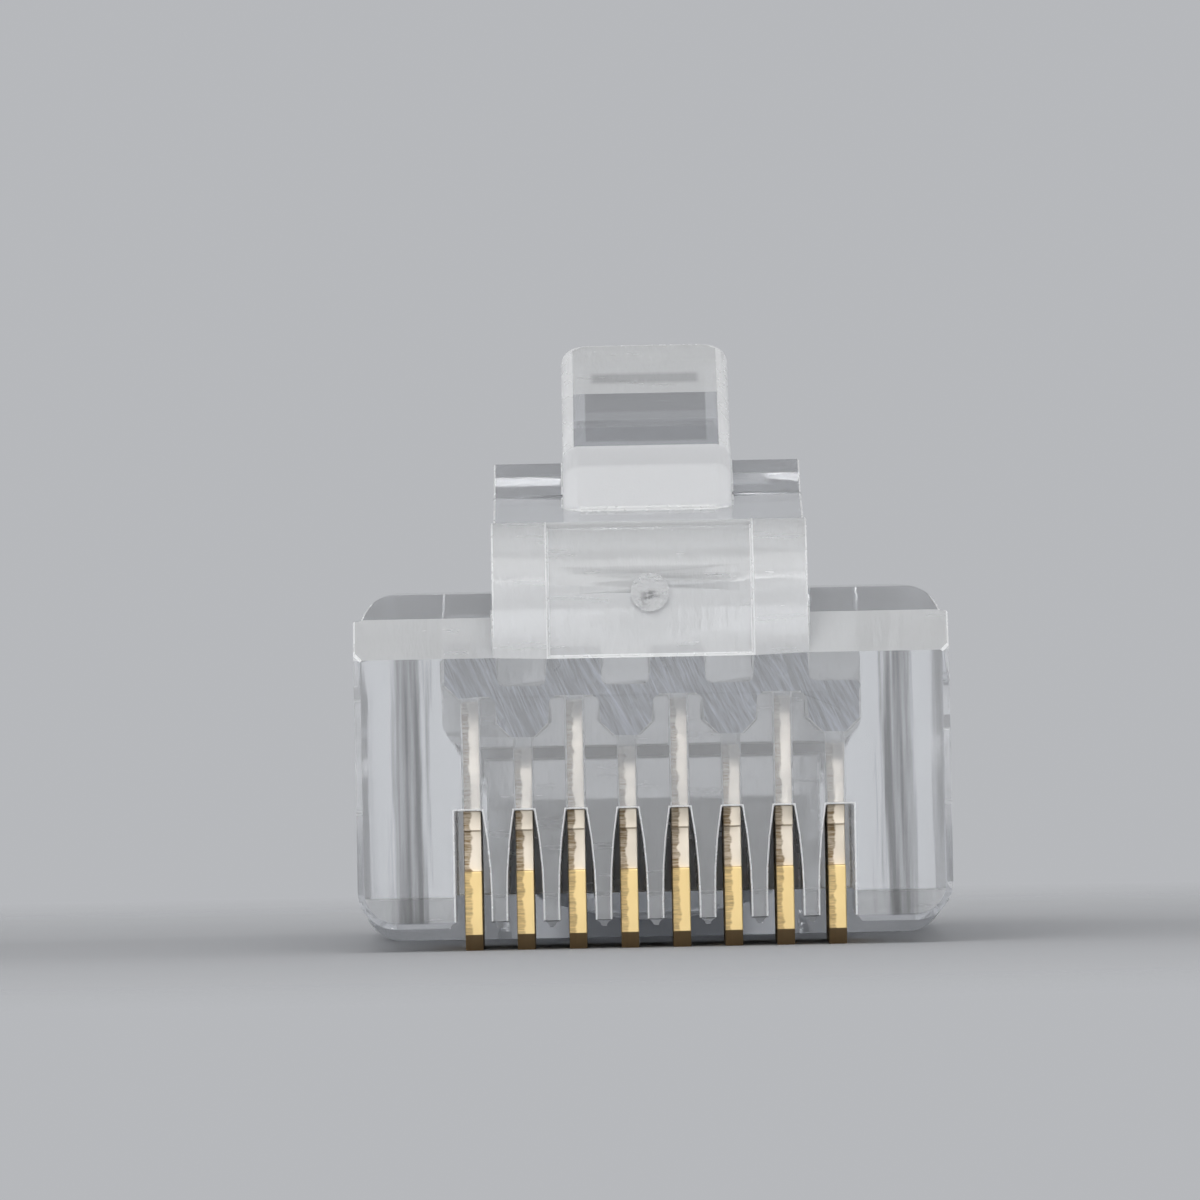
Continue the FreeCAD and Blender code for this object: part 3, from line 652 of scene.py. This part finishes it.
def body_material(centre, normal, width):
    """The number of the material that a face of the body takes."""
    depth = centre.y - NOSE_Y
    at_end_wall = abs(depth - END_WALL) < 0.02 * MM
    if normal.y > FACING and at_end_wall and width > END_WALL_WIDTH:
        return MARKED
    if depth < GATE_DEPTH and abs(centre.x) < GATE_HALF and GATE_LOW < centre.z < GATE_HIGH:
        return SCAR
    # The root, the facets beside it and the inner walls take the satin copy as painted light.
    looks_out = normal.y < -0.02 or normal.z > 0.1
    upper_nose = depth < ROOT_BACK and centre.z > NOSE_EDGE and looks_out
    core_wall = CORE_START < depth < CORE_END and abs(normal.y) > FACING
    return SATIN_PAINTED_LIGHT if upper_nose or core_wall else CLEAR


def latch_material(centre, normal, width):
    """The number of the material that a face of the latch takes."""
    depth = centre.y - NOSE_Y
    if BLOCK_START < depth < BLOCK_END and width < 2 * BLOCK_HALF and normal.z > -0.1:
        return MARKED if abs(centre.x) < BLOCK_HALF else CLEAR
    if depth < BLOCK_END or abs(centre.x) > BLOCK_HALF:
        return CLEAR
    # The tab's rims take the whiter edge copy as a painted highlight.
    if abs(normal.x) > 0.25 or depth > TAB_TIP:
        return PAINTED_HIGHLIGHT
    # The tab's top above its window takes the satin copy as painted light.
    return SATIN_PAINTED_LIGHT if centre.z > WINDOW_HIGH else CLEAR


def add_rounded_block(body, name, half, front, back, top, rounding):
    """Unite the body with a block behind its nose, rounded off along its top front edge."""
    extra = block(name, (-half, NOSE_Y + front, ARM_BOTTOM), (half, NOSE_Y + back, top))

    def top_front(at):
        return at.y < NOSE_Y + front + TOUCH and at.z > top - TOUCH

    bevel_edges(extra, rounding, top_front)
    join_solid(body, extra)


def add_neck(body):
    """Fill the seat behind the root, so that root and latch read as one moulding."""
    add_rounded_block(body, "filler", ROOT_HALF, FILLER_FRONT, ROOT_BACK, ROOT_TOP, FILLER_ROUNDING)
    add_rounded_block(body, "neck", ARM_HALF, NECK_FRONT, NECK_END, ARM_TOP, NECK_ROUNDING)
    weld(body)


def on_neck_end(at):
    """The neck's end lies against the latch, so its edges there stay sharp."""
    return abs(at.y - NOSE_Y - NECK_END) < TOUCH and at.z > ARM_BOTTOM - TOUCH


class PLUG_OT_moulded_body(bpy.types.Operator):
    """Make the clear body with its comb, channels and latch root"""
    bl_idname = "plug.moulded_body"
    bl_label = "Moulded body"

    def execute(self, context):
        body = copy_of("housing", "moulded_body")
        add_neck(body)
        for height in BODY_CUTS:
            cut(body, (0, 0, height), (0, 0, 1))
        materials = clear_plastic(), ground_wall(), satin_painted_light_plastic(), painted_highlight_edge(), gate_scar()
        dress(body, materials, body_material)
        soften_edges(body, sizes().moulded_edge, PAINTED_HIGHLIGHT, on_neck_end)
        close(body)
        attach(body, "plug")
        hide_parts("housing")
        return {"FINISHED"}


class PLUG_OT_latch(bpy.types.Operator):
    """Make the clear latch with its frosted block, bending out of its root"""
    bl_idname = "plug.latch"
    bl_label = "Latch"

    def execute(self, context):
        latch = copy_of("latch", "latch_strip")
        cut(latch, (0, NOSE_Y + BLOCK_END, 0), (0, 1, 0))
        cut(latch, (0, 0, WINDOW_HIGH), (0, 0, 1))
        materials = clear_plastic(), frosted_plastic(), satin_painted_light_plastic(), painted_highlight_edge()
        dress(latch, materials, latch_material)
        soften_edges(latch, sizes().moulded_edge, PAINTED_HIGHLIGHT)
        start = NOSE_Y + NECK_END + sizes().seam
        cut(latch, (0, start, 0), (0, 1, 0), keep_far=True)
        for ring in range(1, BEND_RINGS):
            step = sizes().bend_length * ring / (BEND_RINGS - 1)
            cut(latch, (0, start + step, 0), (0, 1, 0))
        close(latch)
        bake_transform(latch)
        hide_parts("latch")
        return {"FINISHED"}


class PLUG_OT_blades(bpy.types.Operator):
    """Make the eight gold blades"""
    bl_idname = "plug.blades"
    bl_label = "Gold blades"

    def execute(self, context):
        gold = blade_gold()
        for number, node in enumerate(BLADES, start=1):
            blade = copy_of(node, "blade_%d" % number)
            soften_edges(blade, sizes().blade_edge)
            close(blade)
            blade.data.materials.append(gold)
            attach(blade, "plug")
            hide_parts(node)
        return {"FINISHED"}


# ---------------------------------------------------------------- studio

def soft_box(name, place, width, height, power):
    """A rectangular studio light that faces the plug."""
    data = bpy.data.lights.new(name, "AREA")
    data.shape = "RECTANGLE"
    data.size = width
    data.size_y = height
    data.energy = power
    lamp = bpy.data.objects.new(name, data)
    bpy.context.scene.collection.objects.link(lamp)
    lamp.location = place
    towards = Vector(LAMP_TARGET) - Vector(place)
    lamp.rotation_euler = towards.to_track_quat("-Z", "Y").to_euler()


def light_world(scene):
    """Even white air; the camera, gloss and glass see the backdrop, which darkens overhead."""
    world = bpy.data.worlds.new("studio_air")
    scene.world = world
    world.use_nodes = True
    tree = world.node_tree
    add = adder(tree)
    air = tree.nodes["Background"]
    air.inputs["Color"].default_value = (1, 1, 1, 1)
    air.inputs["Strength"].default_value = AIR_LIGHT
    height = axes(tree, add, "Generated")[2]
    overhead = span(tree, add, height, 0.30, 0.85, 0.0, 1.0)
    colour = studio().backdrop
    shade = mix_colour(tree, add, overhead, colour, [part * 0.25 for part in colour])
    backdrop = add("ShaderNodeBackground")
    tree.links.new(shade, backdrop.inputs["Color"])
    path = add("ShaderNodeLightPath")
    seen = path.outputs["Is Camera Ray"]
    for kind in ("Is Glossy Ray", "Is Transmission Ray"):
        seen = compute(tree, add, "MAXIMUM", seen, path.outputs[kind])
    mix = add("ShaderNodeMixShader")
    tree.links.new(seen, mix.inputs["Fac"])
    tree.links.new(air.outputs["Background"], mix.inputs[1])
    tree.links.new(backdrop.outputs["Background"], mix.inputs[2])
    tree.links.new(mix.outputs["Shader"], tree.nodes["World Output"].inputs["Surface"])


def place_camera(scene):
    """A long lens straight on the nose, a little above it and leaning a little."""
    look = studio()
    data = bpy.data.cameras.new("camera")
    data.sensor_width = SENSOR_WIDTH
    data.lens = data.sensor_width * look.distance / look.frame_width
    data.clip_start = 0.01
    data.clip_end = 10
    camera = bpy.data.objects.new("camera", data)
    scene.collection.objects.link(camera)
    back = Vector((0, -math.cos(look.elevation), math.sin(look.elevation)))
    camera.location = CAMERA_TARGET + back * look.distance
    camera.rotation_euler = (-back).to_track_quat("-Z", "Y").to_euler()
    camera.rotation_euler.rotate_axis("Z", -look.roll)
    scene.camera = camera


class PLUG_OT_stage(bpy.types.Operator):
    """Set the floor, the lights and the camera"""
    bl_idname = "plug.stage"
    bl_label = "Studio"

    def execute(self, context):
        scene = context.scene
        bpy.ops.object.select_all(action="DESELECT")
        bpy.ops.mesh.primitive_circle_add(vertices=96, radius=FLOOR_RADIUS, fill_type="NGON",
                                          location=(0, 0, 0))
        floor = context.object
        floor.name = "floor"
        floor.data.materials.append(floor_paint())
        for lamp in LAMPS:
            soft_box(*lamp)
        light_world(scene)
        place_camera(scene)
        scene.view_settings.view_transform = "Standard"
        scene.cycles.max_bounces = GLASS_BOUNCES
        scene.cycles.transmission_bounces = GLASS_BOUNCES
        scene.cycles.transparent_max_bounces = CLEAR_BOUNCES
        return {"FINISHED"}


class PLUG_PT_panel(bpy.types.Panel):
    bl_label = "Modular plug"
    bl_idname = "PLUG_PT_panel"
    bl_space_type = "VIEW_3D"
    bl_region_type = "UI"
    bl_category = "Plug"

    def draw(self, context):
        for group in (sizes(), finish(), studio()):
            for key in group.__annotations__:
                self.layout.prop(group, key)
        for operator in OPERATORS:
            self.layout.operator(operator.bl_idname)


OPERATORS = (PLUG_OT_moulded_body, PLUG_OT_latch, PLUG_OT_blades, PLUG_OT_stage)
CLASSES = (PlugSizes, PlugFinish, PlugStudio) + OPERATORS + (PLUG_PT_panel,)


def register():
    """Add the pieces' operators, the panel and their settings to Blender."""
    for cls in CLASSES:
        bpy.utils.register_class(cls)
    bpy.types.Scene.plug_sizes = bpy.props.PointerProperty(type=PlugSizes)
    bpy.types.Scene.plug_finish = bpy.props.PointerProperty(type=PlugFinish)
    bpy.types.Scene.plug_studio = bpy.props.PointerProperty(type=PlugStudio)


def unregister():
    """Take everything that register added out of Blender."""
    del bpy.types.Scene.plug_sizes
    del bpy.types.Scene.plug_finish
    del bpy.types.Scene.plug_studio
    for cls in reversed(CLASSES):
        bpy.utils.unregister_class(cls)


def main():
    """Build every piece and the studio."""
    register()
    bpy.ops.plug.moulded_body()
    bpy.ops.plug.latch()
    bpy.ops.plug.blades()
    bpy.ops.plug.stage()


if __name__ == "__main__":
    main()
